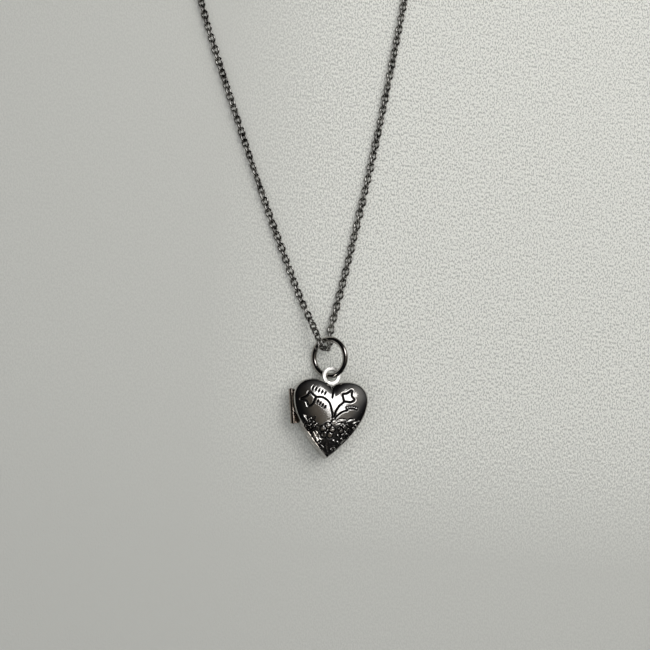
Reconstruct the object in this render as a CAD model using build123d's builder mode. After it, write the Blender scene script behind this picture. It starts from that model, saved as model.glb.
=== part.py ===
"""Heart locket with a side hinge, on a jump ring and a fine cable chain.

Everything is in millimetres, +Z up. The origin is on the surface that the locket lies on,
under the middle of the locket and its jump ring. +Y runs from the heart's tip to the chain.
The closed locket lies on its domed back, so its seam plane is level at SEAM_Z.
"""

from build123d import *
from math import cos, pi, radians, sin, tan
import os

# ---- driving dimensions -------------------------------------------------------------------
SHELL = 0.4  # sheet thickness of both stampings
WALL = 1.5  # straight side wall of each half
DOME = 1.4  # rise of each dome above its wall
DOME_POWER = 3  # the higher, the flatter the dome's middle
DOME_SHARES = (1, 0.92, 0.84, 0.75, 0.65, 0.53, 0.4, 0.25, 0.08)  # of the outline, section by section
SEAM_Z = WALL + DOME  # height of the seam plane

TIP_Y = -12.2  # the heart's tip, on the axis X = 0
TIP_ANGLE = 40.0  # direction in which the side leaves the tip, above +X
# right half of the outline, from the tip upwards, as (x, height above the tip)
CHEEK = (6.3, 7.3)  # end of the long side
FLANK = (7.75, 11.8)  # widest place
CROWN = (5.0, 15.6)  # on top of the lobe
NOTCH = (0.0, 14.5)
HEART_MIDDLE = 8.9  # height above the tip of the point that the outline shrinks towards
HALF_WIDTH = FLANK[0]

LIP = 0.45  # how far the back frame stands above the seam
LIP_GAP = 0.08  # clearance between that lip and the cover's wall
FRAME_WIDTH = 0.9
FRAME_DEPTH = 0.6
FRAME_GAP = 0.1  # between the two frames when the locket is shut
WINDOW = 0.25  # clear leaf

HINGE_MIDDLE = (-7.65, 9.9)  # on the axis, height above the tip
HINGE_SLANT = 8.0  # the axis leans outwards going up
KNUCKLE_R = 0.5
KNUCKLE_LENGTH = 2.25
KNUCKLE_GAP = 0.08
PIN_R = 0.25
PIN_BORE_R = 0.28
PIN_HEAD = 0.12  # peened end beyond the outer knuckles
PIN_ROUND = 0.1
HINGE_RELIEF_R = 0.62  # room for the knuckles in both walls
LEAF = 0.3  # thickness of a hinge leaf
LEAF_REACH = 1.6  # from the axis to behind the wall

NIB_R = 0.22
NIB_PROUD = 0.12
NIB_HEIGHT = 9.6  # above the tip
DIMPLE_GAP = 0.1  # round the nib, in the cover's wall

EYELET_HEIGHT = 16.68  # centre, above the tip
EYELET_R = 1.9
EYELET_HOLE_R = 1.12
EYELET_THICK = 0.6
EYELET_ROUND = 0.12
EYELET_Z = SEAM_Z + 0.05
NECK_WIDTH = 1.5
NECK_GAP = 0.1  # round the neck, in the cover's wall
SOLDER = 0.02  # and in the back's wall

RING_R = 3.6  # jump ring, to the middle of its wire
RING_WIRE_R = 0.5
RING_LEAN = 48.0  # its plane against the surface
RING_TURN = 11.2  # its level diameter against +Y, top to the left
RING_CENTRE = (-0.75, 20.3)  # height above the tip
RING_SPLIT_ANGLE = 52.0  # from the top of the ring to its split, to the left
RING_SPLIT = 0.1

CHAIN_D = 1.5  # outer width of the chain
CHAIN_Z = 0.8  # its middle, where it lies
BEND_R = 1.6  # the chain's bend round the jump ring's wire
BEND_ANGLE = 15.0  # from the top of the ring to that bend, to the left
EYELET_ANGLE = 176.0  # from the top of the ring, by the left, to the wire in the eyelet

CHAIN_LENGTH = 450.0
BEND_LEAD = 3.2  # from the bend's last corner to the next point of each strand
# The chain's route from the tag to the coil. Both strands lie almost straight.
RIGHT_STRAND = [
    (11.0, 89.5, CHAIN_Z),
    (9.3, 75.6, CHAIN_Z),
    (6.6, 54.0, CHAIN_Z),
    (3.2, 33.0, CHAIN_Z),
    (1.4, 22.6, CHAIN_Z),
    (0.2, 16.6, 0.85),
    (-0.45, 13.3, 1.1),
]
LEFT_STRAND = [
    (-4.9, 15.4, 1.9),
    (-6.9, 19.4, CHAIN_Z),
    (-10.0, 25.8, CHAIN_Z),
    (-16.2, 38.9, CHAIN_Z),
    (-26.4, 62.4, CHAIN_Z),
    (-33.2, 79.0, CHAIN_Z),
    (-34.3, 86.0, CHAIN_Z),
    (-33.9, 92.5, CHAIN_Z),
]
# From the coil's top turn, over the outer turns and down to the clasp
TAIL = [
    (-21.85, 102.2, 2.3),
    (-17.0, 103.0, 2.3),
    (-12.0, 103.4, 2.2),
    (-8.3, 102.2, 0.9),
    (-6.4, 99.9, CHAIN_Z),
    (-6.1, 96.8, CHAIN_Z),
]

COIL_MIDDLE = (-22.6, 93.5)
COIL_OUTER_TURN = 11.3  # radius of the outermost turn
COIL_LANES = 4  # turns beside each other, a chain's width apart
COIL_HEIGHT = 3.0  # two layers

SMALL_RING_R = 1.35  # clasp ring and tag ring, to the middle of the wire
SMALL_RING_WIRE_R = 0.3
SMALL_RING_LEAN = 55.0

TAG_LENGTH = 8.6
TAG_WIDTH = 4.4
TAG_THICK = 0.8
TAG_HOLE_R = 1.3  # the hole that the clasp closes in
TAG_LINK_HOLE_R = 0.8

CLASP_THICK = 2.0
CLASP_TAIL_THICK = 1.0
CLASP_TAIL_R = 1.5
CLASP_TAIL_HOLE_R = 0.85
CLASP_PIVOT = (3.3, 1.75)  # along and across the clasp, from its tail's hole
CLASP_PIN_R = 0.3
CLASP_PIN_BORE_R = 0.33
TRIGGER_THICK = 0.6
TRIGGER_SLOT = 1.0

os.makedirs("parts", exist_ok=True)


# ---- the heart ------------------------------------------------------------------------------
def heart_point(point, scale):
    """A point of the outline, shrunk towards the heart's middle, in the row's X and Y."""
    x, height = point
    return (x * scale, TIP_Y + HEART_MIDDLE + (height - HEART_MIDDLE) * scale)


def heart_face(height, scale):
    """The heart's outline at that height, shrunk by scale, as a face."""
    tip, cheek, flank, crown, notch = (
        heart_point(p, scale) for p in ((0, 0), CHEEK, FLANK, CROWN, NOTCH)
    )
    leaving = (cos(radians(TIP_ANGLE)), sin(radians(TIP_ANGLE)))
    with BuildSketch(Plane.XY.offset(height)) as face:
        with BuildLine():
            side = TangentArc(tip, cheek, tangent=leaving)
            hip = TangentArc(cheek, flank, tangent=side % 1)
            lobe = TangentArc(flank, crown, tangent=hip % 1)
            TangentArc(crown, notch, tangent=lobe % 1)
            mirror(about=Plane.YZ)
        make_face()
    return face.sketch


def inset_scale(inset):
    """The scale that brings the outline in by that much at its widest place."""
    return 1 - inset / HALF_WIDTH


def dome_rise(share):
    """Height of the dome over its wall, where the outline has shrunk to that share."""
    return 1 - share**DOME_POWER


def puffed_half(inset, sign):
    """The closed solid of one half, inset below its skin. sign is +1 for the front."""
    outer = inset_scale(inset)
    rise = DOME - inset
    with BuildPart() as half:
        add(heart_face(SEAM_Z, outer))
        extrude(amount=sign * WALL)
        for share in DOME_SHARES:
            add(heart_face(SEAM_Z + sign * (WALL + rise * dome_rise(share)), outer * share))
        loft(ruled=True)
    return half.part


def heart_rim(low, high, outer_inset, width):
    """A flat heart-shaped rim between two heights."""
    with BuildPart() as rim:
        add(heart_face(low, inset_scale(outer_inset)))
        extrude(amount=high - low)
        add(heart_face(low, inset_scale(outer_inset + width)))
        extrude(amount=high - low, mode=Mode.SUBTRACT)
    return rim.part


# ---- hinge ------------------------------------------------------------------------------------
slant = radians(HINGE_SLANT)
hinge_dir = Vector(-sin(slant), cos(slant), 0)
hinge_middle = Vector(HINGE_MIDDLE[0], TIP_Y + HINGE_MIDDLE[1], SEAM_Z)
HINGE_PITCH = KNUCKLE_LENGTH + KNUCKLE_GAP
HINGE_LENGTH = 3 * KNUCKLE_LENGTH + 2 * KNUCKLE_GAP


def hinge_plane(along):
    """A plane square to the hinge axis, that far from the middle knuckle's middle."""
    return Plane(hinge_middle + hinge_dir * along, x_dir=(0, 0, 1), z_dir=hinge_dir)


def knuckle(index, sign):
    """One hinge tube with the leaf that joins it to its half. sign is +1 for the cover."""
    start = index * HINGE_PITCH - KNUCKLE_LENGTH / 2
    with BuildPart() as tube:
        with BuildSketch(hinge_plane(start)):
            Circle(KNUCKLE_R)
            with Locations((sign * (KNUCKLE_R - LEAF / 2), LEAF_REACH / 2)):
                Rectangle(LEAF, LEAF_REACH)
        extrude(amount=KNUCKLE_LENGTH)
        add(puffed_half(0, sign), mode=Mode.SUBTRACT)
        with BuildSketch(hinge_plane(start)):
            Circle(PIN_BORE_R)
        extrude(amount=KNUCKLE_LENGTH, mode=Mode.SUBTRACT)
    return tube.part


with BuildPart() as front_hinge_knuckle:
    add(knuckle(0, 1))
with BuildPart() as back_hinge_knuckle_upper:
    add(knuckle(1, -1))
with BuildPart() as back_hinge_knuckle_lower:
    add(knuckle(-1, -1))

with BuildPart() as hinge_pin:
    with BuildSketch(hinge_plane(-HINGE_LENGTH / 2 - PIN_HEAD)):
        Circle(PIN_R)
    extrude(amount=HINGE_LENGTH + 2 * PIN_HEAD)
    fillet(hinge_pin.edges().filter_by(GeomType.CIRCLE), PIN_ROUND)

with BuildPart() as hinge_room:
    with BuildSketch(hinge_plane(-HINGE_LENGTH / 2 - KNUCKLE_GAP)):
        Circle(HINGE_RELIEF_R)
    extrude(amount=HINGE_LENGTH + 2 * KNUCKLE_GAP)

# ---- eyelet in the notch ----------------------------------------------------------------------
eyelet_y = TIP_Y + EYELET_HEIGHT
neck_y = TIP_Y + NOTCH[1] - SHELL  # the neck is soldered to the wall, as deep as the sheet
eyelet_low = EYELET_Z - EYELET_THICK / 2


def eyelet_blank(margin):
    """The eyelet's disc and neck without its hole, grown by margin all round."""
    with BuildPart() as blank:
        with BuildSketch(Plane.XY.offset(eyelet_low - margin)):
            with Locations((0, eyelet_y)):
                Circle(EYELET_R + margin)
            with Locations((0, (neck_y + eyelet_y) / 2)):
                Rectangle(NECK_WIDTH + 2 * margin, eyelet_y - neck_y)
        extrude(amount=EYELET_THICK + 2 * margin)
    return blank.part


with BuildPart() as bail_eyelet:
    add(eyelet_blank(0))
    with Locations((0, eyelet_y, EYELET_Z)):
        Hole(EYELET_HOLE_R)
    fillet(bail_eyelet.edges().filter_by(GeomType.CIRCLE), EYELET_ROUND)

# ---- shells, frames and windows ---------------------------------------------------------------
nib_x = HALF_WIDTH - SHELL - LIP_GAP - NIB_R + NIB_PROUD
nib_at = (nib_x, TIP_Y + NIB_HEIGHT, SEAM_Z + LIP / 2)

with BuildPart() as front_shell:
    add(puffed_half(0, 1))
    add(puffed_half(SHELL, 1), mode=Mode.SUBTRACT)
    add(hinge_room.part, mode=Mode.SUBTRACT)
    add(eyelet_blank(NECK_GAP), mode=Mode.SUBTRACT)
    with Locations(nib_at):
        Sphere(NIB_R + DIMPLE_GAP, mode=Mode.SUBTRACT)

with BuildPart() as back_shell:
    add(puffed_half(0, -1))
    add(puffed_half(SHELL, -1), mode=Mode.SUBTRACT)
    add(hinge_room.part, mode=Mode.SUBTRACT)
    add(eyelet_blank(SOLDER), mode=Mode.SUBTRACT)

with BuildPart() as back_photo_frame:
    add(heart_rim(SEAM_Z - FRAME_DEPTH, SEAM_Z + LIP, SHELL + LIP_GAP, FRAME_WIDTH))
    add(eyelet_blank(SOLDER), mode=Mode.SUBTRACT)
    with Locations(nib_at):
        Sphere(NIB_R, mode=Mode.SUBTRACT)

with BuildPart() as catch_nib:
    with Locations(nib_at):
        Sphere(NIB_R)

front_frame_low = SEAM_Z + LIP + FRAME_GAP
with BuildPart() as front_photo_frame:
    add(heart_rim(front_frame_low, front_frame_low + FRAME_DEPTH, SHELL + LIP_GAP, FRAME_WIDTH))

with BuildPart() as front_window:
    add(heart_face(front_frame_low + FRAME_DEPTH, inset_scale(SHELL + LIP_GAP)))
    extrude(amount=WINDOW)

with BuildPart() as back_window:
    add(heart_face(SEAM_Z - FRAME_DEPTH, inset_scale(SHELL + LIP_GAP)))
    extrude(amount=-WINDOW)

# ---- jump ring --------------------------------------------------------------------------------
turn, lean = radians(RING_TURN), radians(RING_LEAN)
ring_up = Vector(-sin(turn), cos(turn), 0)  # towards the ring's top, level
ring_rise = Vector(cos(turn) * cos(lean), sin(turn) * cos(lean), sin(lean))  # its rising side
ring_normal = ring_rise.cross(ring_up)
ring_centre = Vector(
    RING_CENTRE[0], TIP_Y + RING_CENTRE[1], RING_WIRE_R + RING_R * sin(lean)
)


def ring_outward(angle):
    """Unit vector from the jump ring's centre, that many degrees left of its top."""
    a = radians(angle)
    return ring_up * cos(a) - ring_rise * sin(a)


eyelet_out = ring_outward(EYELET_ANGLE)
eyelet_wire = ring_centre + eyelet_out * RING_R  # middle of the wire, inside the eyelet
split_dir = ring_outward(RING_SPLIT_ANGLE)
with BuildPart() as jump_ring:
    with BuildSketch(Plane(ring_centre + ring_up * RING_R, x_dir=ring_up, z_dir=ring_rise)):
        Circle(RING_WIRE_R)
    revolve(axis=Axis(ring_centre, ring_normal))
    split_plane = Plane(
        ring_centre + split_dir * RING_R, x_dir=split_dir, z_dir=split_dir.cross(ring_normal)
    )
    with BuildSketch(split_plane.offset(-RING_SPLIT / 2)):
        Circle(3 * RING_WIRE_R)
    extrude(amount=RING_SPLIT, mode=Mode.SUBTRACT)

# ---- chain ------------------------------------------------------------------------------------
bend_out = ring_outward(BEND_ANGLE)
bend_wire = ring_centre + bend_out * RING_R  # middle of the wire, inside the bend
over = bend_wire + (ring_normal - bend_out) * BEND_R  # corner above the wire
under = bend_wire - (ring_normal + bend_out) * BEND_R  # corner below it


def cord_radii(points):
    """Each corner's radius: 0.45 of the shorter run over the tangent of half the turn."""
    radii = []
    for before, here, after in zip(points, points[1:], points[2:]):
        come, go = here - before, after - here
        half_turn = radians(come.get_angle(go)) / 2
        radii.append(0.45 * min(come.length, go.length) / tan(half_turn))
    return radii


def cord(name, route):
    """A plain tube along the route, with its length, smallest bend and volume printed."""
    points = [Vector(*p) for p in route]
    radii = cord_radii(points)
    with BuildPart() as tube:
        with BuildLine() as path:
            FilletPolyline(*points, radius=radii)
        with BuildSketch(Plane(points[0], z_dir=points[1] - points[0])):
            Circle(CHAIN_D / 2)
        sweep()
    length = path.wires()[0].length
    section = pi * CHAIN_D**2 / 4
    print(name, "length", round(length, 2), "radii", [round(r, 2) for r in radii])
    print(name, "volume over section times length", round(tube.part.volume / section / length, 4))
    return tube.part, length


route = [
    *RIGHT_STRAND,
    under,
    over,
    over + bend_out * BEND_LEAD,
    *LEFT_STRAND,
]
chain_run, run_length = cord("chain_run", route)
chain_tail, tail_length = cord("chain_tail", TAIL)
coil_out = COIL_OUTER_TURN + CHAIN_D / 2
coil_in = coil_out - COIL_LANES * CHAIN_D
turns = (CHAIN_LENGTH - run_length - tail_length) / (pi * (coil_out + coil_in))
print("coil turns", round(turns, 2))

with BuildPart() as chain_coil:
    with Locations((*COIL_MIDDLE, CHAIN_Z - CHAIN_D / 2)):
        align = (Align.CENTER, Align.CENTER, Align.MIN)
        Cylinder(coil_out, COIL_HEIGHT, align=align)
        Cylinder(coil_in, COIL_HEIGHT, align=align, mode=Mode.SUBTRACT)

# ---- small rings at the chain's two ends --------------------------------------------------------
small_lean = radians(SMALL_RING_LEAN)
small_ring_z = SMALL_RING_WIRE_R + SMALL_RING_R * sin(small_lean)


def small_ring(points):
    """The ring on the strand that ends with these points.

    Returns the ring, the middle of its wire on the far side, the way the strand runs, and the
    ring's rising direction, which is also its wire's direction on the far side.
    """
    end, before = Vector(*points[0]), Vector(*points[1])
    along = Vector(end.X - before.X, end.Y - before.Y, 0).normalized()
    centre = Vector(end.X, end.Y, small_ring_z) + along * SMALL_RING_R
    across = along.cross(Vector(0, 0, 1))
    rising = across * cos(small_lean) + Vector(0, 0, 1) * sin(small_lean)
    with BuildPart() as ring:
        with BuildSketch(Plane(centre + along * SMALL_RING_R, x_dir=along, z_dir=rising)):
            Circle(SMALL_RING_WIRE_R)
        revolve(axis=Axis(centre, along.cross(rising)))
    return ring.part, centre + along * SMALL_RING_R, along, rising


tag_ring, tag_link, tag_along, tag_rising = small_ring(RIGHT_STRAND[:2])
clasp_ring, clasp_link, clasp_along, clasp_rising = small_ring(TAIL[:-3:-1])


def resting_plane(link, along, far, half_thick):
    """A plane through a piece's middle, tipped so that its far end rests on the surface."""
    tip = (link.Z - half_thick) / far
    x_dir = Vector(along.X, along.Y, -tip).normalized()
    return Plane(link, x_dir=x_dir, z_dir=x_dir.cross(along.cross(Vector(0, 0, 1))) * -1)


# ---- end tag ------------------------------------------------------------------------------------
TAG_END = 1.5  # from the link hole to the tag's near end
tag_plane = resting_plane(tag_link, tag_along, TAG_LENGTH - TAG_END, TAG_THICK / 2)
tag_hole_x = TAG_LENGTH - TAG_END - TAG_WIDTH / 2
with BuildPart() as end_tag:
    with BuildSketch(tag_plane.offset(-TAG_THICK / 2)):
        with Locations((TAG_LENGTH / 2 - TAG_END, 0)):
            SlotOverall(TAG_LENGTH, TAG_WIDTH)
        Circle(TAG_LINK_HOLE_R, mode=Mode.SUBTRACT)
        with Locations((tag_hole_x, 0)):
            Circle(TAG_HOLE_R, mode=Mode.SUBTRACT)
    extrude(amount=TAG_THICK)

# ---- lobster clasp --------------------------------------------------------------------------------
CLAW = (5.2, 0.0, 4.8, 2.6)  # outer ellipse: middle along and across, half lengths
CLAW_HOLE = (5.6, 0.0, 3.0, 1.35)
MOUTH = (4.9, 8.4)  # the claw's gap, along the clasp
GATE_GAP = 0.08
SLOT = (2.2, MOUTH[0], 0.4, 3.2)  # room for the trigger: limits along, then across
TRIGGER_SPAN = (2.6, MOUTH[1] - GATE_GAP, 0.6, 3.0)  # the part of the claw that it closes
TRIGGER_INSET = 0.05
THUMB_TAB = (3.5, 2.75)
THUMB_TAB_SIZE = (0.9, 1.5)
THUMB_TAB_ROUND = 0.3
TRIGGER_LOW = -0.45  # the trigger and its coil spring share the slot
SPRING_R = 0.6
SPRING_THICK = 0.3
SPRING_GAP = 0.02

clasp_plane = resting_plane(clasp_link, clasp_along, CLAW[0] + CLAW[2], CLASP_THICK / 2)


def claw_ring(shrink):
    """The claw's outline around its opening, in the clasp's plane."""
    with BuildSketch() as ring:
        with Locations(CLAW[:2]):
            Ellipse(CLAW[2] - shrink, CLAW[3] - shrink)
        with Locations(CLAW_HOLE[:2]):
            Ellipse(CLAW_HOLE[2], CLAW_HOLE[3], mode=Mode.SUBTRACT)
    return ring.sketch


def between(low, high, bottom, top):
    """A rectangle from its limits along and across the clasp."""
    with BuildSketch() as box:
        with Locations(((low + high) / 2, (bottom + top) / 2)):
            Rectangle(high - low, top - bottom)
    return box.sketch


with BuildPart() as clasp_body:
    with BuildSketch(clasp_plane.offset(-CLASP_THICK / 2)):
        add(claw_ring(0))
        add(between(*MOUTH, 0, 3), mode=Mode.SUBTRACT)
    extrude(amount=CLASP_THICK)
    with BuildSketch(clasp_plane.offset(-CLASP_TAIL_THICK / 2)):
        Circle(CLASP_TAIL_R)
    extrude(amount=CLASP_TAIL_THICK)
    with BuildSketch(clasp_plane.offset(-CLASP_THICK / 2)):
        Circle(CLASP_TAIL_HOLE_R)
        with Locations(CLASP_PIVOT):
            Circle(CLASP_PIN_BORE_R)
    extrude(amount=CLASP_THICK, mode=Mode.SUBTRACT)
    with BuildSketch(clasp_plane.offset(-TRIGGER_SLOT / 2)):
        add(between(*SLOT))
    extrude(amount=TRIGGER_SLOT, mode=Mode.SUBTRACT)

with BuildPart() as clasp_trigger:
    with BuildSketch(clasp_plane.offset(TRIGGER_LOW)):
        add(claw_ring(TRIGGER_INSET))
        add(between(*TRIGGER_SPAN), mode=Mode.INTERSECT)
        with Locations(THUMB_TAB):
            RectangleRounded(*THUMB_TAB_SIZE, THUMB_TAB_ROUND)
        with Locations(CLASP_PIVOT):
            Circle(CLASP_PIN_BORE_R, mode=Mode.SUBTRACT)
    extrude(amount=TRIGGER_THICK)

with BuildPart() as clasp_pin:
    with BuildSketch(clasp_plane.offset(-CLASP_THICK / 2)):
        with Locations(CLASP_PIVOT):
            Circle(CLASP_PIN_R)
    extrude(amount=CLASP_THICK)

with BuildPart() as clasp_spring:
    with BuildSketch(clasp_plane.offset(TRIGGER_LOW + TRIGGER_THICK + SPRING_GAP)):
        with Locations(CLASP_PIVOT):
            Circle(SPRING_R)
            Circle(CLASP_PIN_BORE_R, mode=Mode.SUBTRACT)
    extrude(amount=SPRING_THICK)

# ---- export ---------------------------------------------------------------------------------------
pieces = {
    "front_shell": front_shell.part,
    "front_photo_frame": front_photo_frame.part,
    "front_window": front_window.part,
    "front_hinge_knuckle": front_hinge_knuckle.part,
    "back_shell": back_shell.part,
    "back_photo_frame": back_photo_frame.part,
    "back_window": back_window.part,
    "back_hinge_knuckle_upper": back_hinge_knuckle_upper.part,
    "back_hinge_knuckle_lower": back_hinge_knuckle_lower.part,
    "hinge_pin": hinge_pin.part,
    "catch_nib": catch_nib.part,
    "bail_eyelet": bail_eyelet.part,
    "jump_ring": jump_ring.part,
    "chain_run": chain_run,
    "chain_coil": chain_coil.part,
    "chain_tail": chain_tail,
    "tag_ring": tag_ring,
    "end_tag": end_tag.part,
    "clasp_ring": clasp_ring,
    "clasp_body": clasp_body.part,
    "clasp_trigger": clasp_trigger.part,
    "clasp_pin": clasp_pin.part,
    "clasp_spring": clasp_spring.part,
}
for name, piece in pieces.items():
    piece.label = name
    export_step(piece, f"parts/{name}.step")

for name, at, axis in (
    ("hinge", hinge_middle, -hinge_dir),
    ("ring on chain", bend_wire, ring_normal.cross(bend_out)),
    ("eyelet on ring", eyelet_wire, eyelet_out.cross(ring_normal)),
    ("tag on ring", tag_link, tag_rising),
    ("clasp on ring", clasp_link, clasp_rising),
    ("trigger", clasp_plane.from_local_coords(Vector(*CLASP_PIVOT, 0)), -clasp_plane.z_dir),
    ("tag hole", tag_plane.from_local_coords(Vector(tag_hole_x, 0, 0)), tag_plane.z_dir),
    ("claw opening", clasp_plane.from_local_coords(Vector(CLAW_HOLE[0], 0, 0)), clasp_plane.z_dir),
):
    print(name, "at", [round(v, 4) for v in at], "axis", [round(v, 6) for v in axis])
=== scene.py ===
"""Heart locket on a cable chain: the looks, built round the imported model.

Metres, in the row's frame: the locket lies on the surface z = 0, its tip towards -Y, and the
chain leaves towards +Y. Small sizes are written in millimetres, times MM.
"""

from math import atan2, cos, pi, radians, sin, tan

import bpy
import numpy as np
from mathutils import Matrix, Vector


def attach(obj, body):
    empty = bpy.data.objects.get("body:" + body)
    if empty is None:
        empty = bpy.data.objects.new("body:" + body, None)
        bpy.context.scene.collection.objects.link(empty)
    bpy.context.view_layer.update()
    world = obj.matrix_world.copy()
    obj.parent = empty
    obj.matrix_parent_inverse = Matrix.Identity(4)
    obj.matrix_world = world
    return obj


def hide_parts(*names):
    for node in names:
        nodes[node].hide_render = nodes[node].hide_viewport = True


MM = 0.001

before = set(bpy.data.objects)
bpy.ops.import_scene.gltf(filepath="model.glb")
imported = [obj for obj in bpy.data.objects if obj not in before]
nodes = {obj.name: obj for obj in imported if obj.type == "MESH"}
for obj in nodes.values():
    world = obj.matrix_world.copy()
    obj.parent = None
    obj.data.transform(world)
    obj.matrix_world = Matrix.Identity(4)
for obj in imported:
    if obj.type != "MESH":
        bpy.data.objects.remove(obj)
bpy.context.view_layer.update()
random = np.random.default_rng(7)


# ---- camera ---------------------------------------------------------------------------------
VIEW_TILT = radians(17)  # the camera leans this far from overhead
VIEW_TURN = radians(25)  # towards -X, and this far round towards -Y
VIEW_LEAN = radians(4.3)  # the row's +Y leans this far right of upright in the picture
VIEW_DISTANCE = 0.5
VIEW_WIDTH = 0.130  # what the picture spans at the aim
AIM = Vector((-3.2, 14.15, 6.9)) * MM


def make_camera():
    """A long-lensed camera over the locket's hinge side."""
    back = Vector((
        -sin(VIEW_TILT) * cos(VIEW_TURN),
        -sin(VIEW_TILT) * sin(VIEW_TURN),
        cos(VIEW_TILT),
    ))
    right = (Vector((1, 0, 0)) - back * back.x).normalized()
    up = back.cross(right)
    roll = VIEW_LEAN - atan2(right.y, up.y)
    right, up = right * cos(roll) + up * sin(roll), up * cos(roll) - right * sin(roll)
    data = bpy.data.cameras.new("camera")
    data.sensor_width = 36
    data.lens = data.sensor_width * VIEW_DISTANCE / VIEW_WIDTH
    data.clip_start, data.clip_end = 0.01, 10
    camera = bpy.data.objects.new("camera", data)
    camera.matrix_world = Matrix.Translation(AIM + back * VIEW_DISTANCE) @ Matrix(
        (right, up, back)
    ).transposed().to_4x4()
    bpy.context.scene.collection.objects.link(camera)
    bpy.context.scene.camera = camera


make_camera()


# ---- mesh helpers ---------------------------------------------------------------------------
def new_object(name, data):
    thing = bpy.data.objects.new(name, data)
    bpy.context.scene.collection.objects.link(thing)
    return thing


def new_mesh(name, points, faces):
    """A smooth-shaded mesh object from arrays."""
    mesh = bpy.data.meshes.new(name)
    mesh.from_pydata([tuple(p) for p in points], [], [tuple(f) for f in faces])
    mesh.update()
    mesh.polygons.foreach_set("use_smooth", np.ones(len(mesh.polygons), bool))
    return new_object(name, mesh)


def grid_faces(rows, columns, closed_rows=False):
    """Quads of a grid whose columns close on themselves, as row-major indices."""
    r = np.arange(rows if closed_rows else rows - 1)
    c = np.arange(columns)
    here = r[:, None] * columns + c
    right = r[:, None] * columns + (c + 1) % columns
    above = (r[:, None] + 1) % rows * columns + c
    above_right = (r[:, None] + 1) % rows * columns + (c + 1) % columns
    return np.stack([here, right, above_right, above], -1).reshape(-1, 4)


# ---- the chain's route ------------------------------------------------------------------------
CHAIN_Z = 0.8
# the same route as the solids', from the tag, round the jump ring, to the coil
ROUTE = [
    (11.0, 89.5, CHAIN_Z),
    (9.3, 75.6, CHAIN_Z),
    (6.6, 54.0, CHAIN_Z),
    (3.2, 33.0, CHAIN_Z),
    (1.4, 22.6, CHAIN_Z),
    (0.2, 16.6, 0.85),
    (-0.45, 13.3, 1.1),
    (-0.3, 10.16, 1.72),
    (-2.63, 9.7, 3.86),
    (-3.78, 12.62, 3.25),
    (-4.9, 15.4, 1.9),
    (-6.9, 19.4, CHAIN_Z),
    (-10.0, 25.8, CHAIN_Z),
    (-16.2, 38.9, CHAIN_Z),
    (-26.4, 62.4, CHAIN_Z),
    (-33.2, 79.0, CHAIN_Z),
    (-34.3, 86.0, CHAIN_Z),
    (-33.9, 92.5, CHAIN_Z),
]
TAIL = [
    (-21.85, 102.2, 2.3),
    (-17.0, 103.0, 2.3),
    (-12.0, 103.4, 2.2),
    (-8.3, 102.2, 0.9),
    (-6.4, 99.9, CHAIN_Z),
    (-6.1, 96.8, CHAIN_Z),
]
COIL_MIDDLE = (-22.6, 93.5)
COIL_OUTER_TURN = 11.3
COIL_PITCH = 1.5  # one turn to the next
COIL_LOWER_TURNS = 3  # inwards, on the surface
COIL_TURNS = 4.25  # clockwise, the rest outwards, on top
COIL_UPPER_Z = 2.3
COIL_STEPS = 16  # points to a turn
COIL_RISE_EARLY = 0.3  # turns before the lower layer ends, where it starts to climb
COIL_RISE_TURNS = 0.5  # and over how many it climbs


def coil_points():
    """The put-away turns, from the end of the route to the start of the tail."""
    start = atan2(ROUTE[-1][1] - COIL_MIDDLE[1], ROUTE[-1][0] - COIL_MIDDLE[0])
    points = []
    for step in range(1, int(COIL_TURNS * COIL_STEPS)):
        turns = step / COIL_STEPS
        inwards = min(turns, COIL_LOWER_TURNS)
        outwards = turns - inwards
        radius = COIL_OUTER_TURN - COIL_PITCH * (inwards - outwards)
        rise = min(1, max(0, (turns - COIL_LOWER_TURNS + COIL_RISE_EARLY) / COIL_RISE_TURNS))
        angle = start - 2 * pi * turns
        points.append((
            COIL_MIDDLE[0] + radius * cos(angle),
            COIL_MIDDLE[1] + radius * sin(angle),
            CHAIN_Z + (COIL_UPPER_Z - CHAIN_Z) * rise,
        ))
    return points


def chain_line(points):
    """The smooth line that those control points shape, as an array of points in metres."""
    curve = bpy.data.curves.new("chain_route", "CURVE")
    curve.dimensions = "3D"
    spline = curve.splines.new("NURBS")
    spline.points.add(len(points) - 1)
    for point, place in zip(spline.points, points):
        point.co = (*(Vector(place) * MM), 1)
    spline.order_u = 3
    spline.use_endpoint_u = True
    spline.resolution_u = 12
    route = new_object("chain_route", curve)
    bpy.context.view_layer.update()
    line = bpy.data.meshes.new_from_object(route)
    places = np.array([v.co for v in line.vertices])
    bpy.data.objects.remove(route)
    bpy.data.meshes.remove(line)
    return places


def even_line(places, step):
    """Points along the line, a step apart, with the unit tangent at each."""
    along = np.r_[0, np.cumsum(np.linalg.norm(np.diff(places, axis=0), axis=1))]
    count = int(round(along[-1] / step))
    stops = (np.arange(count) + 0.5) * along[-1] / count
    at = np.stack([np.interp(stops, along, places[:, k]) for k in range(3)], 1)
    ahead = np.stack([np.interp(stops + step / 2, along, places[:, k]) for k in range(3)], 1)
    behind = np.stack([np.interp(stops - step / 2, along, places[:, k]) for k in range(3)], 1)
    tangent = ahead - behind
    return at, tangent / np.linalg.norm(tangent, axis=1, keepdims=True)


LINK_PITCH = 1.24 * MM
LINK_WIRE = 0.45 * MM
LINK_LENGTH = LINK_PITCH + 2 * LINK_WIRE
LINK_WIDTH = 1.7 * MM
LINK_ROUND = 28  # points round a link
LINK_SIDES = 8  # and round its wire
LINK_SQUARENESS = 3  # how quickly its ends turn into its sides


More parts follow.
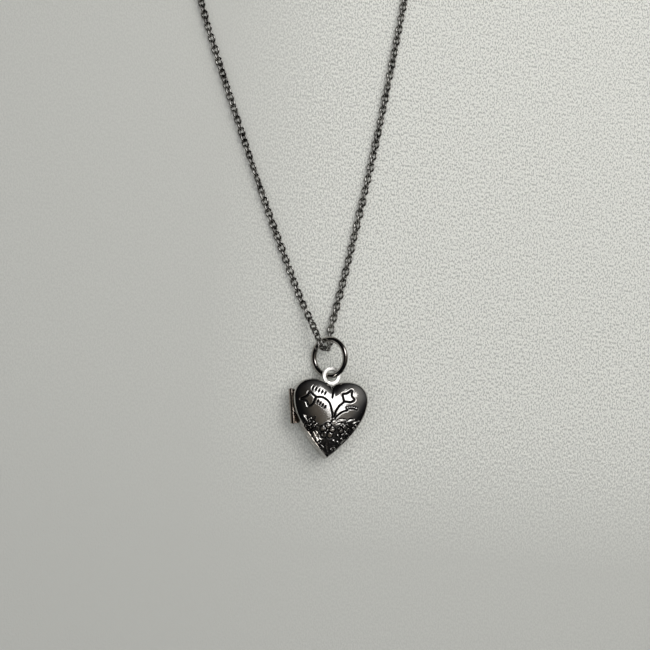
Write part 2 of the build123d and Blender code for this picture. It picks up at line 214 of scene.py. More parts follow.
def link_shape():
    """One link: an oval of round wire in the local XY plane, long along X."""
    angle = np.linspace(0, 2 * pi, LINK_ROUND, endpoint=False)
    straight = (LINK_LENGTH - LINK_WIDTH) / 2
    middle = (LINK_WIDTH - LINK_WIRE) / 2
    out = np.stack([np.cos(angle), np.sin(angle), 0 * angle], 1)
    centre = out * middle
    centre[:, 0] += straight * np.tanh(LINK_SQUARENESS * np.cos(angle))
    side = np.linspace(0, 2 * pi, LINK_SIDES, endpoint=False)
    ring = (
        centre[:, None]
        + out[:, None] * np.cos(side)[None, :, None] * LINK_WIRE / 2
        + np.array([0, 0, 1]) * np.sin(side)[None, :, None] * LINK_WIRE / 2
    )
    return ring.reshape(-1, 3), grid_faces(LINK_ROUND, LINK_SIDES, closed_rows=True)


LINK_ROLL = radians(42)  # alternate links lean this far either way from flat
LINK_PLAY = radians(8)  # how unevenly
TWIST = 0.15  # the strand's slow twist, in radians
TWIST_LINKS = 12  # links from one twist to the next


def make_chain():
    """The whole chain as one mesh of links along the route, and the points of its line."""
    places = chain_line([*ROUTE, *coil_points(), *TAIL])
    at, tangent = even_line(places, LINK_PITCH)
    shape, shape_faces = link_shape()
    points, faces = [], []
    slow = random.normal(0, 1, len(at) // TWIST_LINKS + 2)
    for i, (place, along) in enumerate(zip(at, tangent)):
        side = np.cross([0, 0, 1], along)
        side /= np.linalg.norm(side)
        up = np.cross(along, side)
        drift = np.interp(i / TWIST_LINKS, np.arange(len(slow)), slow) * TWIST
        roll = (LINK_ROLL if i % 2 else LINK_ROLL - pi / 2) + drift
        roll += random.normal(0, 1) * LINK_PLAY
        across = side * cos(roll) + up * sin(roll)
        normal = np.cross(along, across)
        points.append(place + shape @ np.stack([along, across, normal]))
        faces.append(shape_faces + i * len(shape))
    chain = new_mesh("chain", np.concatenate(points), np.concatenate(faces))
    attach(chain, "necklace")
    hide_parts("chain_run", "chain_coil", "chain_tail")
    return chain, places


chain, chain_places = make_chain()

# ---- the heart ------------------------------------------------------------------------------
# in millimetres, as in the solids
SHELL = 0.4
WALL = 1.5
DOME = 1.4
DOME_POWER = 3
SEAM_Z = WALL + DOME
TIP_Y = -12.2
TIP_ANGLE = 40
CHEEK = (6.3, 7.3)
FLANK = (7.75, 11.8)
CROWN = (5.0, 15.6)
NOTCH = (0.0, 14.5)
HEART_MIDDLE = 8.9
NECK_WIDTH = 1.5
NECK_LOW, NECK_HIGH = 2.65, 3.25
HINGE_MIDDLE = (-7.65, 9.9)
HINGE_SLANT = radians(8)
HINGE_LENGTH = 6.91

ROUND = 640  # points round the heart
EDGE = 0.5  # rounding between wall and dome
SEAM_EDGE = 0.12
CORNER_SOFTNESS = 0.3  # how soon the tip's and notch's creases fade up the dome
OUTLINE_STEP = 0.02
SEAM_LIFT = 0.015  # half the hairline between the two halves
TOP_SHARE = 0.004  # the innermost row, as a share of the outline
SKIN_ROWS, BACK_ROWS, INSIDE_ROWS = 118, 60, 24  # rows up the dome
HINGE_ROOM, HINGE_ROOM_INSIDE = 0.56, 0.6  # kept clear round the hinge's axis
HINGE_ROOM_ENDS = 0.1
NECK_ROOM = 0.08  # kept clear round the eyelet's neck
NECK_UNDER = 0.02
NECK_FROM_TIP = 13.4  # where the neck begins


def arc_points(start, end, heading, step):
    """Points of the arc that leaves start in that heading for end, and its heading there."""
    chord = end - start
    turn = 2 * np.angle(chord / heading)
    if abs(turn) < 1e-9:
        share = np.linspace(0, 1, int(abs(chord) / step) + 2)
        return start + share * chord, heading
    radius = abs(chord) / (2 * sin(abs(turn) / 2))
    middle = start + 1j * heading * radius * np.sign(turn)
    share = np.linspace(0, 1, int(radius * abs(turn) / step) + 2)
    return middle + (start - middle) * np.exp(1j * turn * share), heading * np.exp(1j * turn)


def heart_outline():
    """The outline round its middle, evenly spaced from the tip, right side first, as x + iy."""
    corners = [complex(x, y - HEART_MIDDLE) for x, y in ((0, 0), CHEEK, FLANK, CROWN, NOTCH)]
    heading = np.exp(1j * radians(TIP_ANGLE))
    side = []
    for start, end in zip(corners, corners[1:]):
        points, heading = arc_points(start, end, heading, OUTLINE_STEP)
        side.extend(points[:-1])
    side = np.array([*side, corners[-1]])
    along = np.r_[0, np.cumsum(abs(np.diff(side)))]
    stops = np.linspace(0, along[-1], ROUND // 2 + 1)
    side = np.interp(stops, along, side.real) + 1j * np.interp(stops, along, side.imag)
    return np.r_[side, -side[-2:0:-1].conj()]


OUTLINE = heart_outline()
HALF_WIDTH = FLANK[0]


def heart_layer(share):
    """The outline shrunk to that share, its corners softened towards the middle."""
    order = np.fft.fftfreq(ROUND, 1 / ROUND)
    soft = np.exp(-0.5 * (order * CORNER_SOFTNESS * max(0, 1 - share)) ** 2)
    return share * np.fft.ifft(np.fft.fft(OUTLINE) * soft)


def half_profile(rise, edge, steps):
    """Rows (share of the outline, height over the seam) from the seam to the dome's middle."""
    flat = edge / HALF_WIDTH
    turned = np.linspace(0, 1, 9)[1:]
    ahead = 1 - flat
    z_ahead = WALL + rise * (1 - ahead**DOME_POWER)
    rows = [(1 - SEAM_EDGE / HALF_WIDTH, SEAM_LIFT), (1, SEAM_EDGE)]
    rows += [(1, SEAM_EDGE + (WALL - edge - SEAM_EDGE) * k) for k in np.linspace(0, 1, 8)[1:]]
    for k in turned:  # a curve with its corner where wall and dome would meet
        share = (1 - k) ** 2 + 2 * k * (1 - k) + k**2 * ahead
        z = (1 - k) ** 2 * (WALL - edge) + 2 * k * (1 - k) * WALL + k**2 * z_ahead
        rows.append((share, z))
    for share in np.linspace(ahead, TOP_SHARE, steps)[1:]:
        rows.append((share, WALL + rise * (1 - share**DOME_POWER)))
    return rows


slant_dir = np.array([-sin(HINGE_SLANT), cos(HINGE_SLANT), 0])
hinge_at = np.array([HINGE_MIDDLE[0], TIP_Y + HINGE_MIDDLE[1], SEAM_Z])


def clear_hinge(points, radius):
    """Push those points off the hinge's axis that lie within the radius of it."""
    away = points - hinge_at
    along = away @ slant_dir
    away -= along[:, None] * slant_dir
    far = np.linalg.norm(away, axis=1)
    close = (far < radius) & (abs(along) < HINGE_LENGTH / 2 + HINGE_ROOM_ENDS)
    inward = np.array([1, 0, 0])
    sideways = away[close] - np.outer(away[close] @ inward, inward)
    reach = np.sqrt(radius**2 - np.minimum(radius, np.linalg.norm(sideways, axis=1)) ** 2)
    points[close] += np.outer(reach - away[close] @ inward, inward)


def clear_neck(points, sign):
    """Lift the seam's edge over the eyelet's neck, where the wall passes it."""
    near_middle = abs(points[:, 0]) < NECK_WIDTH / 2 + NECK_ROOM
    at_neck = near_middle & (points[:, 1] > TIP_Y + NECK_FROM_TIP)
    if sign > 0:
        points[at_neck, 2] = np.maximum(points[at_neck, 2], NECK_HIGH + NECK_ROOM)
    else:
        points[at_neck, 2] = np.minimum(points[at_neck, 2], NECK_LOW - NECK_UNDER)


def half_shell(name, sign, rows_on_dome, relief=None):
    """One stamped half, skin and inside. sign is +1 for the cover; relief engraves its skin."""
    inner = 1 - SHELL / HALF_WIDTH
    skin = half_profile(DOME, EDGE, rows_on_dome)
    inside_rows = half_profile(DOME - SHELL, EDGE, INSIDE_ROWS)
    inside = [(share * inner, z) for share, z in inside_rows][::-1]
    layers = []
    for share, z in skin:
        layer = heart_layer(share)
        layers.append(np.stack([layer.real, layer.imag, z + 0 * layer.real], 1))
    skin_count = len(layers) * ROUND
    for share, z in inside:
        layer = heart_layer(min(1, share / inner)) * inner
        layers.append(np.stack([layer.real, layer.imag, z + 0 * layer.real], 1))
    points = np.concatenate(layers)
    points[:, 1] += TIP_Y + HEART_MIDDLE
    points[:, 2] = SEAM_Z + sign * points[:, 2]
    clear_neck(points, sign)
    clear_hinge(points[:skin_count], HINGE_ROOM)
    clear_hinge(points[skin_count:], HINGE_ROOM_INSIDE)
    engraved_black_and_painted_shade = np.zeros(len(points))
    if relief:
        depth, engraved_black_and_painted_shade[:skin_count] = relief(points[:skin_count])
        points[:skin_count, 2] += sign * depth
    faces = grid_faces(len(layers), ROUND)
    faces = np.concatenate([faces, join_rows(len(layers) - 1, 0)])
    if sign < 0:
        faces = faces[:, ::-1]
    shell = new_mesh(name, points * MM, faces)
    # the engraving's blackening, with the painted shade of the crease below the notch
    black_layer = shell.data.attributes.new("engraved_black_and_painted_shade", "FLOAT", "POINT")
    black_layer.data.foreach_set("value", engraved_black_and_painted_shade)
    return shell


def join_rows(last, first):
    """Quads from the last row of points to the first."""
    here = last * ROUND + np.arange(ROUND)
    there = first * ROUND + np.arange(ROUND)
    return np.stack([here, np.roll(here, -1), np.roll(there, -1), there], -1)


# ---- engraving --------------------------------------------------------------------------------
# Places on the cover are (x, height above the tip) in millimetres.
GROOVE_DEPTH = 0.085
BURR = 0.016  # the bright raised edge along a stroke
BURR_AT, BURR_WIDTH = 1.75, 0.6  # its place and width, in the stroke's half widths

TULIP = (  # along its stalk and across, round the flower
    (0.0, 0.0), (0.35, 0.55), (1.0, 1.3), (1.55, 0.85), (3.0, 0.35),
    (2.1, -0.35), (1.9, -1.35), (1.0, -1.1), (0.35, -0.35), (0.0, 0.0),
)  # fmt: skip


def smooth_stroke(corners, step=0.08):
    """A flowing line through the corners, as x + iy."""
    corners = np.array([complex(*c) for c in corners])
    along = np.r_[0, np.cumsum(abs(np.diff(corners)))]
    stops = np.linspace(0, along[-1], int(along[-1] / step) + 2)
    if len(corners) > 2:
        slopes = np.gradient(corners, along)
    else:
        slopes = np.diff(corners)[[0, 0]] / along[-1]
    k = np.clip(np.searchsorted(along, stops, "right") - 1, 0, len(corners) - 2)
    span = along[k + 1] - along[k]
    t = (stops - along[k]) / span
    return (
        (2 * t**3 - 3 * t**2 + 1) * corners[k]
        + (t**3 - 2 * t**2 + t) * span * slopes[k]
        + (3 * t**2 - 2 * t**3) * corners[k + 1]
        + (t**3 - t**2) * span * slopes[k + 1]
    )


def tulip(base, angle, size, hand):
    """The outline of a tulip on its stalk's end."""
    turn = np.exp(1j * radians(angle)) * size
    places = [complex(*base) + turn * complex(a, hand * b) for a, b in TULIP]
    return [(p.real, p.imag) for p in places]


def fan(start, end, count, length, angle):
    """Short strokes side by side, their middles from start to end."""
    middles = np.linspace(complex(*start), complex(*end), count)
    half = np.exp(1j * radians(angle)) * length / 2
    return [[(m - half), (m + half)] for m in middles]


def engraved_strokes():
    """Every stroke of the engraving, and the painted shade of the crease below the notch, as
    (points, half width, depth, taper, blackening).
    """
    lines = [
        ([(0.2, 7.8), (-0.2, 9.6), (-0.9, 11.2), (-2.3, 12.0), (-3.6, 11.9)], 0.2),
        ([(0.3, 7.8), (0.8, 9.7), (1.4, 10.6), (2.3, 11.5)], 0.2),
        ([(0.4, 7.8), (1.3, 8.8), (2.1, 9.4), (3.1, 9.8)], 0.18),
        (tulip((-3.6, 11.9), 199, 1.0, -1), 0.2),
        (tulip((2.3, 11.5), 50, 1.0, 1), 0.2),
        ([(0.2, 7.8), (-0.1, 7.2), (-0.4, 6.9)], 0.15),
        # the valley crease below the notch: a shallow groove, blackened as painted shade
        ([(0.0, 14.3), (-0.05, 13.2), (-0.2, 12.1)], 0.16),
    ]
    strokes = [(smooth_stroke(line), width, GROOVE_DEPTH, 0, 1) for line, width in lines]
    hatches = [
        *fan((-4.3, 13.8), (-1.7, 12.9), 5, 0.95, 68),
        *fan((-3.2, 11.0), (-1.6, 10.1), 4, 0.9, 62),
    ]
    strokes += [(np.linspace(a, b, 9), 0.17, GROOVE_DEPTH, 1, 1) for a, b in hatches]
    leaves = [
        [(0.8, 7.4), (1.9, 7.95), (3.1, 8.0)],
        [(3.1, 7.5), (3.9, 8.1), (4.8, 8.3)],
        [(0.9, 6.9), (1.9, 7.2), (2.9, 7.0)],
        [(-3.5, 5.0), (-2.9, 4.0), (-2.1, 3.2)],
        [(-3.0, 5.2), (-2.4, 4.3), (-1.6, 3.6)],
        [(-1.5, 2.6), (-0.9, 2.3), (-0.5, 2.6)],
        [(1.3, 2.6), (0.7, 2.3), (0.2, 2.5)],
        [(-5.6, 8.2), (-5.0, 7.6), (-4.7, 7.0)],
        [(-3.4, 8.1), (-3.7, 7.6), (-4.0, 7.2)],
        [(4.6, 7.4), (5.2, 7.9), (5.9, 8.1)],
        [(2.6, 3.2), (3.1, 3.6), (3.4, 4.1)],
        [(-0.5, 3.6), (-0.35, 2.6), (-0.1, 1.4)],
    ]
    strokes += [(smooth_stroke(leaf), 0.2, 1.2 * GROOVE_DEPTH, 1, 0.1) for leaf in leaves]
    for (x, y), reach, petals, radius, start in FLOWERS:
        for k in range(petals):
            middle = complex(x, y) + reach * np.exp(1j * (start + 2 * pi * k / petals))
            ring = middle + radius * np.exp(1j * np.linspace(0, 2 * pi, 25))
            strokes.append((ring, 0.13, 0.6 * GROOVE_DEPTH, 0, 1))
    return strokes


FLOWERS = (  # middle, distance of its petals, how many, their radius, angle of the first
    ((-0.7, 5.4), 1.0, 5, 0.66, 0.3),
    ((3.1, 5.5), 0.85, 5, 0.56, 0.5),
    ((-4.2, 6.3), 0.66, 5, 0.43, 0.9),
)
BEADS = (  # single raised dots
    (1.7, 5.9), (2.1, 6.7), (3.4, 6.9), (2.6, 4.1), (1.6, 4.6), (1.8, 3.3), (0.8, 3.5),
    (4.9, 6.4), (4.3, 4.8), (-4.3, 7.5), (-3.1, 6.5), (-5.3, 5.7), (0.6, 1.7), (1.3, 2.0),
    (3.1, 10.3), (3.6, 10.45), (4.1, 10.5), (4.6, 10.5), (5.1, 10.4), (0.3, 7.9), (-1.9, 3.0),
    (5.4, 7.0),
)  # fmt: skip
BEAD_R = 0.27
BEAD_HIGH = 0.085
MOAT_AT, MOAT_WIDTH, MOAT_DEPTH = 1.35, 0.4, 0.03  # the ring cut round a bead, in its radii
GROUND = (  # darkened ground round the flowers: middle and reach
    ((-0.7, 5.3), 2.0),
    ((2.0, 4.9), 2.1),
    ((3.6, 6.3), 1.9),
    ((-4.2, 6.3), 1.3),
    ((0.3, 2.4), 1.8),
)
GROUND_FADE = 0.12
GROUND_BLACK = 0.7
STIPPLE_COUNT = 260
STIPPLE_TOP = 7.0  # the stippled ground reaches this far above the tip
STIPPLE_R = 0.13
STIPPLE_DEPTH = 0.035
STIPPLE_SHARE = 0.86  # of the way from the middle to the outline


def stipple(here, on_top, height, black):
    """A punched, darkened ground behind the flowers."""
    tip_half_angle = radians(90 - TIP_ANGLE)
    for x, y in random.uniform((-6, 1), (6, STIPPLE_TOP + 0.6), (STIPPLE_COUNT, 2)):
        reach = min(abs(y * tan(tip_half_angle)), CHEEK[0]) * STIPPLE_SHARE
        if abs(x) > reach or y > STIPPLE_TOP + 0.12 * (abs(x) - 2):
            continue
        near = on_top & (abs(here.real - x) < 0.5) & (abs(here.imag - y) < 0.5)
        off = abs(here[near] - complex(x, y)) / STIPPLE_R
        height[near] -= STIPPLE_DEPTH * np.exp(-(off**2))
        black[near] = np.maximum(black[near], 0.7 * np.exp(-((off / 1.3) ** 2)))


def engrave(points):
    """Height change and blackening of the cover's skin at each point."""
    here = points[:, 0] + 1j * (points[:, 1] - TIP_Y)
    on_top = points[:, 2] > SEAM_Z + WALL
    height, black, polish = (np.zeros(len(here)) for _ in range(3))
    for line, width, depth, taper, blackening in engraved_strokes():
        reach = 3 * width
        x = (line.real.min() + line.real.max()) / 2
        y = (line.imag.min() + line.imag.max()) / 2
        size = max(np.ptp(line.real), np.ptp(line.imag)) / 2 + reach
        near = on_top & (abs(here.real - x) < size) & (abs(here.imag - y) < size)
        spot = here[near]
        start, span = line[:-1], np.diff(line)
        share = ((spot[:, None] - start) * span.conj()).real / abs(span) ** 2
        gap = abs(spot[:, None] - start - np.clip(share, 0, 1) * span)
        nearest = gap.argmin(1)
        row = np.arange(len(spot))
        off = gap[row, nearest]
        if taper:
            place = (nearest + np.clip(share[row, nearest], 0, 1)) / len(span)
            width = width * (0.35 + 0.65 * np.sin(pi * place))
        cut = np.exp(-((off / width) ** 2))
        edge = np.exp(-(((off - BURR_AT * width) / (BURR_WIDTH * width)) ** 2))
        height[near] = np.where(
            depth * cut > -np.minimum(height[near], 0),
            np.minimum(height[near], -depth * cut),
            height[near],
        )
        height[near] += BURR * edge * (black[near] < 0.3)
        black[near] = np.maximum(black[near], blackening * cut)
        polish[near] = np.maximum(polish[near], (1 - blackening) * cut)
    ground = np.zeros(len(here))
    for (x, y), reach in GROUND:
        past = (abs(here - complex(x, y)) - reach) / GROUND_FADE
        ground = np.maximum(ground, on_top / (1 + np.exp(past)))
    for (x, y), reach, petals, radius, first in FLOWERS:
        for k in range(petals):
            middle = complex(x, y) + reach * np.exp(1j * (first + 2 * pi * k / petals))
            ground *= abs(here - middle) > radius
    black = np.maximum(black, GROUND_BLACK * ground)
    stipple(here, on_top, height, black)
    black *= 1 - polish
    for x, y in [*BEADS, *(flower[0] for flower in FLOWERS)]:
        off = abs(here - complex(x, y))
        bump = np.clip(1 - (off / BEAD_R) ** 2, 0, 1)
        moat = np.exp(-(((off - MOAT_AT * BEAD_R) / (MOAT_WIDTH * BEAD_R)) ** 2))
        height += on_top * (BEAD_HIGH * bump - MOAT_DEPTH * moat)
        black = np.maximum(black * (bump <= 0), 0.8 * moat * on_top)
    return height, black


front_skin = half_shell("front_skin", 1, SKIN_ROWS, engrave)
back_skin = half_shell("back_skin", -1, BACK_ROWS)
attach(front_skin, "locket_cover")
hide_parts("front_shell")
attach(back_skin, "locket_back")
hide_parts("back_shell")


# ---- rings --------------------------------------------------------------------------------------
RING_SIDES = 36  # round a ring's wire


def make_ring(name, centre, up, side, radius, wire, opening=0.0, opening_at=0.0, steps=160):
    """A ring of round wire, optionally with a gap, the gap's angle from up towards -side."""
    half = opening / radius / 2
    angle = opening_at + np.linspace(half, 2 * pi - half, steps, endpoint=bool(opening))
    around = np.linspace(0, 2 * pi, RING_SIDES, endpoint=False)
    up, side, centre = (np.array(v, float) for v in (up, side, centre))
    normal = np.cross(side, up)
    out = np.outer(np.cos(angle), up) - np.outer(np.sin(angle), side)
    rings = (
        centre
        + out[:, None] * (radius + wire * np.cos(around))[None, :, None]
        + normal * (wire * np.sin(around))[None, :, None]
    )
    points = list(rings.reshape(-1, 3))
    faces = [tuple(f) for f in grid_faces(steps, len(around), closed_rows=not opening)]
    if opening:
        last = len(points) - len(around)
        faces += [tuple(range(len(around)))[::-1], tuple(range(last, len(points)))]
    return new_mesh(name, np.array(points) * MM, faces)


RING_R = 3.7
RING_WIRE_R = 0.56
RING_LEAN = radians(48)
RING_TURN = radians(11.2)
RING_CENTRE = (-0.765, 20.37)
RING_SPLIT_ANGLE = radians(52)
RING_SPLIT = 0.1
ring_up = (-sin(RING_TURN), cos(RING_TURN), 0)
ring_rise = (
    cos(RING_TURN) * cos(RING_LEAN),
    sin(RING_TURN) * cos(RING_LEAN),
    sin(RING_LEAN),
)
ring_centre = (RING_CENTRE[0], TIP_Y + RING_CENTRE[1], RING_WIRE_R + RING_R * sin(RING_LEAN))
ring = make_ring(
    "ring_wire", ring_centre, ring_up, ring_rise, RING_R, RING_WIRE_R, RING_SPLIT, RING_SPLIT_ANGLE
)
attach(ring, "jump_ring")
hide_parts("jump_ring")

SMALL_RING_R = 1.35
SMALL_RING_WIRE_R = 0.24
SMALL_RING_LEAN = radians(55)
SMALL_RING_Z = 1.366  # its middle


def end_ring(name, node, end, before):
    """The small ring on the end of a strand."""
    along = Vector((end[0] - before[0], end[1] - before[1], 0)).normalized()
    centre = Vector((end[0], end[1], SMALL_RING_Z)) + along * SMALL_RING_R
    across = along.cross(Vector((0, 0, 1)))
    rising = across * cos(SMALL_RING_LEAN) + Vector((0, 0, 1)) * sin(SMALL_RING_LEAN)
    small = make_ring(name, centre, along, rising, SMALL_RING_R, SMALL_RING_WIRE_R, steps=96)
    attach(small, "necklace")
    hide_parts(node)
    return small


end_rings = [
    end_ring("tag_loop", "tag_ring", ROUTE[0], ROUTE[1]),
    end_ring("clasp_loop", "clasp_ring", TAIL[-1], TAIL[-2]),
]

# ---- rounded hinge ------------------------------------------------------------------------------
KNUCKLE_ROUNDING = 0.13

for name in ("front_hinge_knuckle", "back_hinge_knuckle_upper", "back_hinge_knuckle_lower"):
    soft = nodes[name].modifiers.new("worn_edges", "BEVEL")
    soft.width = KNUCKLE_ROUNDING * MM
    soft.segments = 3
    soft.limit_method = "ANGLE"
    soft.angle_limit = radians(50)

# ---- floor and light ------------------------------------------------------------------------
FLOOR_HALF = 4


def make_floor():
    """A plain pale surface."""
    half = FLOOR_HALF
    corners = [(-half, -half, 0), (half, -half, 0), (half, half, 0), (-half, half, 0)]
    floor = new_mesh("floor", corners, [(0, 1, 2, 3)])
    return floor


floor = make_floor()


def make_light(name, azimuth, elevation, distance, size, radiance, colour=(1, 1, 1)):
    """A rectangular softbox that faces the locket from that direction, of even radiance."""
    data = bpy.data.lights.new(name, "AREA")
    data.shape = "RECTANGLE"
    data.size, data.size_y = size
    data.energy = radiance * size[0] * size[1] * pi
    data.color = colour
    light = new_object(name, data)
    away = Vector((
        cos(radians(azimuth)) * cos(radians(elevation)),
        sin(radians(azimuth)) * cos(radians(elevation)),
        sin(radians(elevation)),
    ))
    light.location = away * distance
    light.rotation_mode = "QUATERNION"
    light.rotation_quaternion = away.to_track_quat("Z", "Y")
    return light


# What the polished steel mirrors and what lights the board are set apart, so that a hard
# bright window can show in the steel while the shadows stay faint.
MIRRORED = (
    make_light("window", 50, 60.5, 0.6, (0.26, 0.32), 4.2),
    make_light("side_lamp", 228, 15, 0.6, (0.09, 0.12), 6, (1.0, 0.94, 0.87)),
)
FELT = (
    make_light("key", 45, 62, 0.38, (0.24, 0.24), 0.92, (1.0, 0.995, 0.965)),
    make_light("room_fill", 57, 48, 0.28, (0.38, 0.38), 0.82, (1.0, 0.995, 0.965)),
    make_light("far_fill", 215, 62, 0.8, (1.2, 1.2), 1.0, (0.98, 0.99, 1.0)),
)
for light in MIRRORED:
    light.visible_diffuse = False
for light in FELT:
    light.visible_glossy = False


GLOWS = (  # a direction, then how squarely a ray faces it and the room's colour there
    (
        (0.25, 0.08, 0.96),
        (0.1, (0.004, 0.004, 0.005)),
        (0.7, (0.010, 0.010, 0.011)),
        (0.85, (0.040, 0.037, 0.034)),
        (0.93, (0.100, 0.089, 0.075)),
        (1.0, (0.170, 0.150, 0.125)),
    ),
    (
        (0.50, 0.42, 0.74),
        (0.74, (0.0, 0.0, 0.0)),
        (0.84, (0.03, 0.03, 0.032)),
        (0.92, (0.12, 0.12, 0.12)),
        (1.0, (0.32, 0.32, 0.31)),
    ),
)


def make_world():
    """A dim room: grey-brown overhead, with a haze of light round the window."""
    world = bpy.data.worlds.new("room")
    world.use_nodes = True
    tree = world.node_tree
    place = tree.nodes.new("ShaderNodeTexCoord")
    tones = []
    for direction, *colours in GLOWS:
        facing = tree.nodes.new("ShaderNodeVectorMath")
        facing.operation = "DOT_PRODUCT"
        facing.inputs[1].default_value = Vector(direction).normalized()
        tree.links.new(place.outputs["Generated"], facing.inputs[0])
        ramp = tree.nodes.new("ShaderNodeValToRGB")
        tree.links.new(facing.outputs["Value"], ramp.inputs["Fac"])
        stops = ramp.color_ramp.elements
        for _ in colours[2:]:
            stops.new(0.5)
        for stop, (position, colour) in zip(stops, colours):
            stop.position, stop.color = position, (*colour, 1)
        tones.append(ramp.outputs["Color"])
    both = tree.nodes.new("ShaderNodeVectorMath")
    for socket, tone in zip(both.inputs, tones):
        tree.links.new(tone, socket)
    tree.links.new(both.outputs["Vector"], tree.nodes["Background"].inputs["Color"])
    bpy.context.scene.world = world


make_world()

# ---- materials --------------------------------------------------------------------------------
MIX_SHARE, MIX_FIRST, MIX_SECOND, MIX_COLOUR = 0, 6, 7, 2  # the Mix node's sockets for colours


class Look:
    """A material under construction, with short ways to add and join nodes."""

    def __init__(self, name, colour, metallic, roughness):
        self.material = bpy.data.materials.new(name)
        self.material.use_nodes = True
        self.tree = self.material.node_tree
        self.shader = self.tree.nodes["Principled BSDF"]
        self.set(self.shader, "Base Color", (*colour, 1))
        self.set(self.shader, "Metallic", metallic)
        self.set(self.shader, "Roughness", roughness)

    def set(self, node, socket, value):
        """Give an input a value or the output of another node."""
        if isinstance(value, bpy.types.NodeSocket):
            self.tree.links.new(value, node.inputs[socket])
        else:
            node.inputs[socket].default_value = value

    def node(self, kind, output, settings=(), **inputs):
        """Add a node with those inputs and return its output."""
        node = self.tree.nodes.new(kind)
        for key, value in dict(settings).items():
            setattr(node, key, value)
        for socket, value in inputs.items():
            self.set(node, socket.replace("_", " "), value)
        return node.outputs[output]

    def place(self, stretch=(1, 1, 1)):
        """The piece's own coordinates in millimetres, stretched."""
        place = self.node("ShaderNodeTexCoord", "Object")
        scale = tuple(k / MM for k in stretch)
        return self.node("ShaderNodeMapping", "Vector", Vector=place, Scale=scale)

    def noise(self, scale, detail=2, stretch=(1, 1, 1), roughness=0.5):
        """Noise with that many features to a millimetre."""
        place = self.place(stretch)
        return self.node(
            "ShaderNodeTexNoise", 0, Vector=place, Scale=scale, Detail=detail, Roughness=roughness
        )

    def span(self, value, low, high, to_low, to_high):
        """The value, mapped from one range to another and held inside it."""
        node = self.tree.nodes.new("ShaderNodeMapRange")
        for socket, number in enumerate((value, low, high, to_low, to_high)):
            self.set(node, socket, number)
        return node.outputs[0]

    def mix(self, share, first, second):
        """One colour mixed into another by that share."""
        node = self.tree.nodes.new("ShaderNodeMix")
        node.data_type = "RGBA"
        self.set(node, MIX_SHARE, share)
        for socket, colour in ((MIX_FIRST, first), (MIX_SECOND, second)):
            self.set(node, socket, (*colour, 1) if isinstance(colour, tuple) else colour)
        return node.outputs[MIX_COLOUR]

    def math(self, operation, first, second):
        """Arithmetic on two values."""
        node = self.tree.nodes.new("ShaderNodeMath")
        node.operation = operation
        self.set(node, 0, first)
        self.set(node, 1, second)
        return node.outputs[0]

    def bump(self, height, distance, strength=1.0):
        """Raise the surface by the height's value times the distance, in millimetres."""
        node = self.tree.nodes.new("ShaderNodeBump")
        self.set(node, "Height", height)
        self.set(node, "Distance", distance * MM)
        self.set(node, "Strength", strength)
        self.set(self.shader, "Normal", node.outputs[0])


def used_steel(name, colour, roughness, tarnish, scratch=0.004):
    """Polished steel with smudges, a little tarnish in patches and fine scratches."""
    look = Look(name, colour, 1, roughness)
    patches = look.span(look.noise(0.5, 3), 0.4, 0.7, 0, 1)
    colour_out = look.mix(patches, colour, tarnish)
    blotches = look.noise(0.8, 4, roughness=0.6)
    smudges = look.span(blotches, 0.35, 0.75, roughness * 0.75, roughness * 1.6)
    look.set(look.shader, "Base Color", colour_out)
    look.set(look.shader, "Roughness", smudges)
    fine = look.noise(3, 2, (1, 6, 1))
    look.bump(fine, scratch)
    return look, colour_out, smudges


SHELL_COLOUR = (0.50, 0.49, 0.475)
SHELL_TARNISH = (0.41, 0.39, 0.365)
BLACKENED = (0.006, 0.006, 0.007)


def make_shell_steel():
    """The shells' mirror polish, blackened in the engraving, and with painted shade in the crease
    below the notch.
    """
    look, colour, rough = used_steel("shell_steel", SHELL_COLOUR, 0.09, SHELL_TARNISH)
    engraved_black_and_painted_shade = look.node("ShaderNodeAttribute", "Fac", {"attribute_name": "engraved_black_and_painted_shade"})
    # the engraving's black, and painted shade along the crease below the notch
    black = look.span(engraved_black_and_painted_shade, 0.3, 0.75, 0, 1)
    look.set(look.shader, "Base Color", look.mix(black, colour, BLACKENED))
    look.set(look.shader, "Roughness", look.math("ADD", rough, look.math("MULTIPLY", black, 0.4)))
    return look.material


def make_clear_leaf():
    """A clear plastic leaf, very slightly scuffed."""
    look = Look("clear_leaf", (0.97, 0.98, 0.98), 0, 0.05)
    look.set(look.shader, "IOR", 1.46)
    look.set(look.shader, "Transmission Weight", 1.0)
    scuffs = look.span(look.noise(1.5, 4), 0.45, 0.75, 0.03, 0.16)
    look.set(look.shader, "Roughness", scuffs)
    return look.material


def make_frame_steel():
    """The photo frames' brushed steel."""
    look, _, _ = used_steel("frame_steel", (0.66, 0.65, 0.63), 0.28, (0.55, 0.53, 0.5), 0.01)
    return look.material


shell_steel = make_shell_steel()
frame_steel = make_frame_steel()
clear_leaf = make_clear_leaf()
hinge_steel = used_steel("hinge_steel", (0.42, 0.37, 0.33), 0.12, (0.26, 0.20, 0.16))[0].material
ring_steel = used_steel("ring_steel", (0.52, 0.50, 0.475), 0.10, (0.36, 0.335, 0.31))[0].material
chain_steel = used_steel("chain_steel", (0.46, 0.45, 0.43), 0.11, (0.12, 0.115, 0.11))[0].material
clasp_steel = used_steel("clasp_steel", (0.58, 0.56, 0.54), 0.2, (0.45, 0.42, 0.38))[0].material
bright_steel = used_steel("bright_steel", (0.96, 0.95, 0.93), 0.42, (0.86, 0.85, 0.82))[0].material


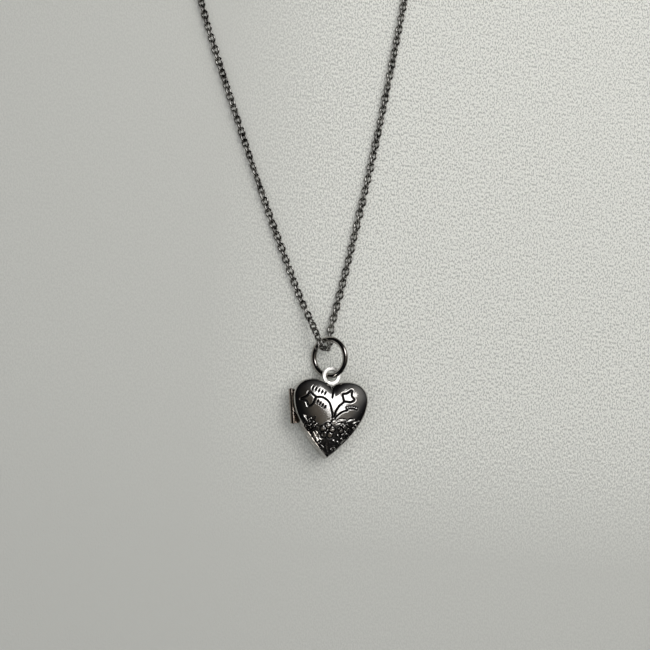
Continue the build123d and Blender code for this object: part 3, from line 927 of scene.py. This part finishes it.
def make_eyelet_steel():
    """The eyelet's bright satin, with painted shade darkening its neck where it runs under the
    cover's dome.
    """
    look, colour, _ = used_steel("eyelet_steel", (0.96, 0.95, 0.93), 0.4, (0.86, 0.85, 0.82))
    split = look.node("ShaderNodeSeparateXYZ", "Y", Vector=look.place())
    # painted shade: the neck darkens towards the wall, where the cover's dome would shade it
    painted_neck_shade = look.span(split, TIP_Y + 15.1, TIP_Y + 14.75, 0, 0.85)
    look.set(look.shader, "Base Color", look.mix(painted_neck_shade, colour, (0.06, 0.055, 0.05)))
    return look.material


eyelet_steel = make_eyelet_steel()

SLOTS = {
    frame_steel: ("front_photo_frame", "back_photo_frame"),
    clear_leaf: ("front_window", "back_window"),
    hinge_steel: (
        "front_hinge_knuckle", "back_hinge_knuckle_upper", "back_hinge_knuckle_lower",
        "hinge_pin", "catch_nib",
    ),
    eyelet_steel: ("bail_eyelet",),
    clasp_steel: ("end_tag", "clasp_body", "clasp_trigger", "clasp_pin", "clasp_spring"),
}  # fmt: skip
for material, names in SLOTS.items():
    for name in names:
        nodes[name].data.materials.clear()
        nodes[name].data.materials.append(material)
for thing, material in (
    (chain, chain_steel),
    (ring, ring_steel),
    (front_skin, shell_steel),
    (back_skin, shell_steel),
    *((small, bright_steel) for small in end_rings),
):
    thing.data.materials.append(material)


def make_floor_look():
    """A pale, finely grained board, its grain stronger and its tone lighter towards the upper
    right as painted sheen and painted light.
    """
    look = Look("pale_board", (0.62, 0.62, 0.58), 0, 0.55)
    wrinkles = look.noise(3.4, 1, (1.0, 0.6, 1.0), 0.6)
    place = look.node("ShaderNodeSeparateXYZ", "X", Vector=look.place())
    # painted sheen and painted light: a mask that grows towards the upper right, where the light
    # glints on the board
    across = look.span(place, -26, 8, 0.1, 1)
    along = look.span(place.node.outputs["Y"], -30, 4, 0.1, 1)
    painted_sheen = look.math("MULTIPLY", across, along)
    contrast = look.span(wrinkles, 0.38, 0.62, -0.5, 0.5)
    # the mask raises the grain's contrast (painted sheen) and lightens the board's tone (painted
    # light)
    tone = look.math("MULTIPLY", look.math("ADD", contrast, 0.3), painted_sheen)
    tone = look.math("ADD", tone, 0.5)
    look.set(look.shader, "Base Color", look.mix(tone, (0.323, 0.326, 0.309), (0.875, 0.88, 0.83)))
    look.bump(wrinkles, 0.05)
    return look.material


floor.data.materials.append(make_floor_look())
bpy.context.scene.view_settings.view_transform = "Standard"
